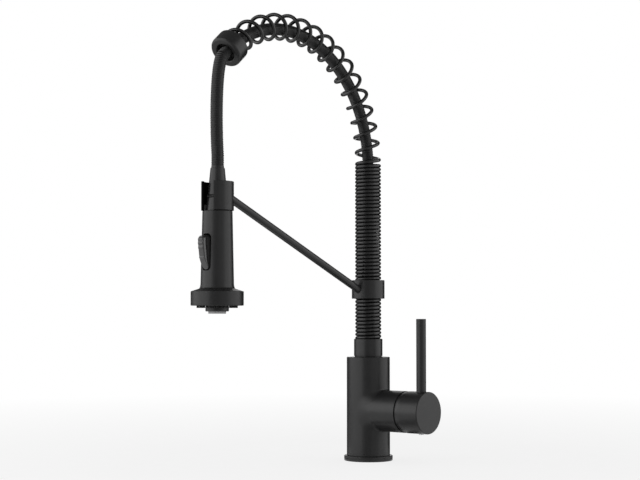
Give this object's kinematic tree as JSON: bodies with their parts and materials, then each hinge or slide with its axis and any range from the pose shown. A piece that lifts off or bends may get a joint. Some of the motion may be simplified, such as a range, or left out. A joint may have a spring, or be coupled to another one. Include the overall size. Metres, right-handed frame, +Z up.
{
  "type": "spring spout kitchen faucet",
  "caption": "Single-lever deck faucet with a spring arch spout, pull-down spray head, docking arm and side lever, in matte black.",
  "frame": {"origin": "centre of the base's underside, on the deck plane", "axes": "+Z up along the column; the spout points to -Y and the lever hub to +X"},
  "size_m": [0.1076, 0.2838, 0.4649],
  "materials": {
    "matte_black": "matte black powder coat",
    "matte_black_plastic": "matte black moulded plastic",
    "hose_black": "ribbed satin black sleeve",
    "button_grey": "satin dark grey plastic",
    "aerator_grey": "light grey plastic",
    "rubber_black": "soft black rubber",
    "brass": "machined brass",
    "steel": "bright steel",
    "nylon": "natural acetal",
    "ceramic": "lapped ceramic"
  },
  "bodies": {
    "root": {"base_gasket": "rubber_black", "base_ring": "matte_black", "body_casting": "matte_black", "slip_washer": "matte_black_plastic", "lower_bushing": "nylon", "upper_bushing": "nylon", "retaining_screw": "steel", "cartridge_housing": "nylon", "port_seals": "rubber_black", "fixed_disc": "ceramic", "bonnet_nut": "brass"},
    "turret": {"stem_carrier": "nylon", "stem_pin": "steel", "moving_disc": "ceramic"},
    "handle": {"cartridge_stem": "brass", "handle_hub": "matte_black", "handle_lever": "matte_black", "hub_screw": "steel"},
    "spout": {"swivel_spigot": "brass", "swivel_o_ring": "rubber_black", "spring_sleeve": "matte_black", "riser_tube": "matte_black", "riser_guide": "matte_black_plastic", "spring_coil": "matte_black", "arm_clamp": "matte_black", "clamp_bushing": "matte_black_plastic", "clamp_screw": "steel", "support_arm": "matte_black", "dock_clip": "matte_black", "dock_seat": "matte_black_plastic", "end_collar": "matte_black", "hose_arch": "hose_black", "hose_tail": "brass"},
    "connector": {"hose_drop": "hose_black", "hose_neck": "matte_black", "hose_clip": "matte_black"},
    "spray_head": {"neck_seal": "rubber_black", "spray_shell": "matte_black_plastic", "spray_waterway": "brass", "spray_ring": "matte_black_plastic", "spray_face": "matte_black_plastic", "nozzle_mat": "rubber_black", "aerator_housing": "matte_black_plastic", "aerator_insert": "aerator_grey", "aerator_screen": "steel", "check_valve": "nylon", "button_pin": "steel"},
    "button": {"diverter_button": "button_grey"},
    "spool": {"diverter_spool": "nylon"}
  },
  "joints": [
    {"name": "spout_swivel", "type": "hinge", "parent": "root", "child": "spout", "pos_m": [0, 0, 0.1], "axis": [0, 0, 1], "range_deg": [-90, 90]},
    {"name": "handle_temperature", "type": "hinge", "parent": "root", "child": "turret", "pos_m": [0.058, 0, 0.054], "axis": [1, 0, 0], "range_deg": [0, 90]},
    {"name": "handle_flow", "type": "hinge", "parent": "turret", "child": "handle", "pos_m": [0.058, 0, 0.054], "axis": [0, 1, 0], "range_deg": [0, 20]},
    {"name": "spray_pull", "type": "slide", "parent": "spout", "child": "connector", "axis": [0, 0, -1], "range_m": [0, 0.13], "deforming": ["hose_drop"]},
    {"name": "head_swivel", "type": "hinge", "parent": "connector", "child": "spray_head", "pos_m": [0, -0.232, 0.255], "axis": [0, 0, 1], "continuous": true},
    {"name": "diverter_rock", "type": "hinge", "parent": "spray_head", "child": "button", "pos_m": [0, -0.2442, 0.21723], "axis": [-1, 0, 0], "range_deg": [0, 16]},
    {"name": "spool_slide", "type": "slide", "parent": "spray_head", "child": "spool", "axis": [0, -1, 0], "range_m": [0, 0.0026]}
  ],
  "couplings": [
    {"joint": "spool_slide", "follows": "diverter_rock", "m_per_rad": 0.00906}
  ]
}
